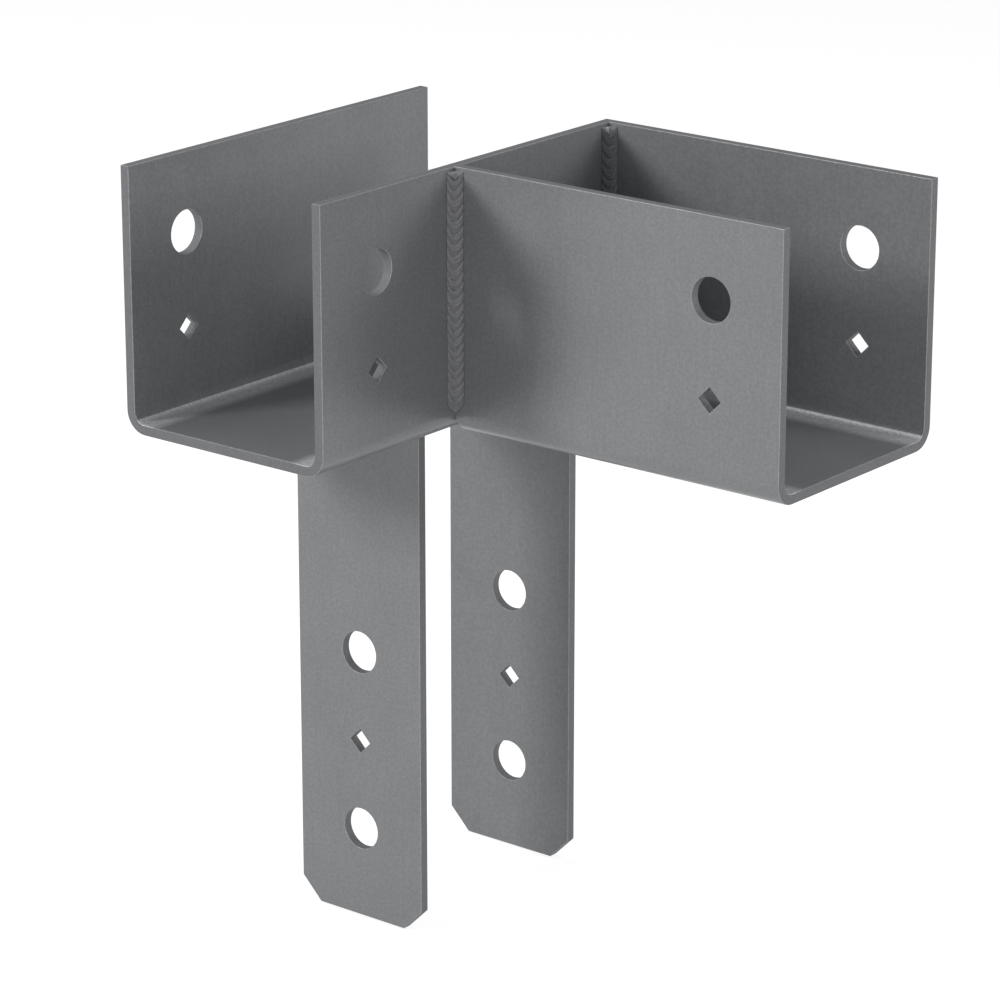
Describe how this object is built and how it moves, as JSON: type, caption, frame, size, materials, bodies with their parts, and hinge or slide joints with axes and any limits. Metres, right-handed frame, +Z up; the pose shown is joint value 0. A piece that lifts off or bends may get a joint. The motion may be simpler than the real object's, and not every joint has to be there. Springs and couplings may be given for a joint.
{
  "type": "l-shaped column end cap",
  "caption": "L-shaped welded steel cap that seats a beam end and a side beam on a timber column, with open folded channels above and drilled straps below.",
  "frame": {"origin": "middle of the column seat, on the main channel's underside, halfway between the two straps", "axes": "+Z up, +X along the side channel towards its open end, -Y towards the main channel's front end"},
  "size_m": [0.2528, 0.1785, 0.3217],
  "materials": {
    "channel_sheet": "satin grey shop primer on folded steel",
    "strap_sheet": "satin grey shop primer on cut steel",
    "weld_metal": "satin grey shop primer over rippled weld beads"
  },
  "bodies": {
    "root": {"main_channel": "channel_sheet", "side_channel": "channel_sheet", "front_strap": "strap_sheet", "rear_strap": "strap_sheet", "outer_corner_weld": "weld_metal", "inner_corner_weld": "weld_metal", "floor_seam_weld": "weld_metal", "front_strap_weld": "weld_metal", "rear_strap_weld": "weld_metal"}
  },
  "joints": []
}
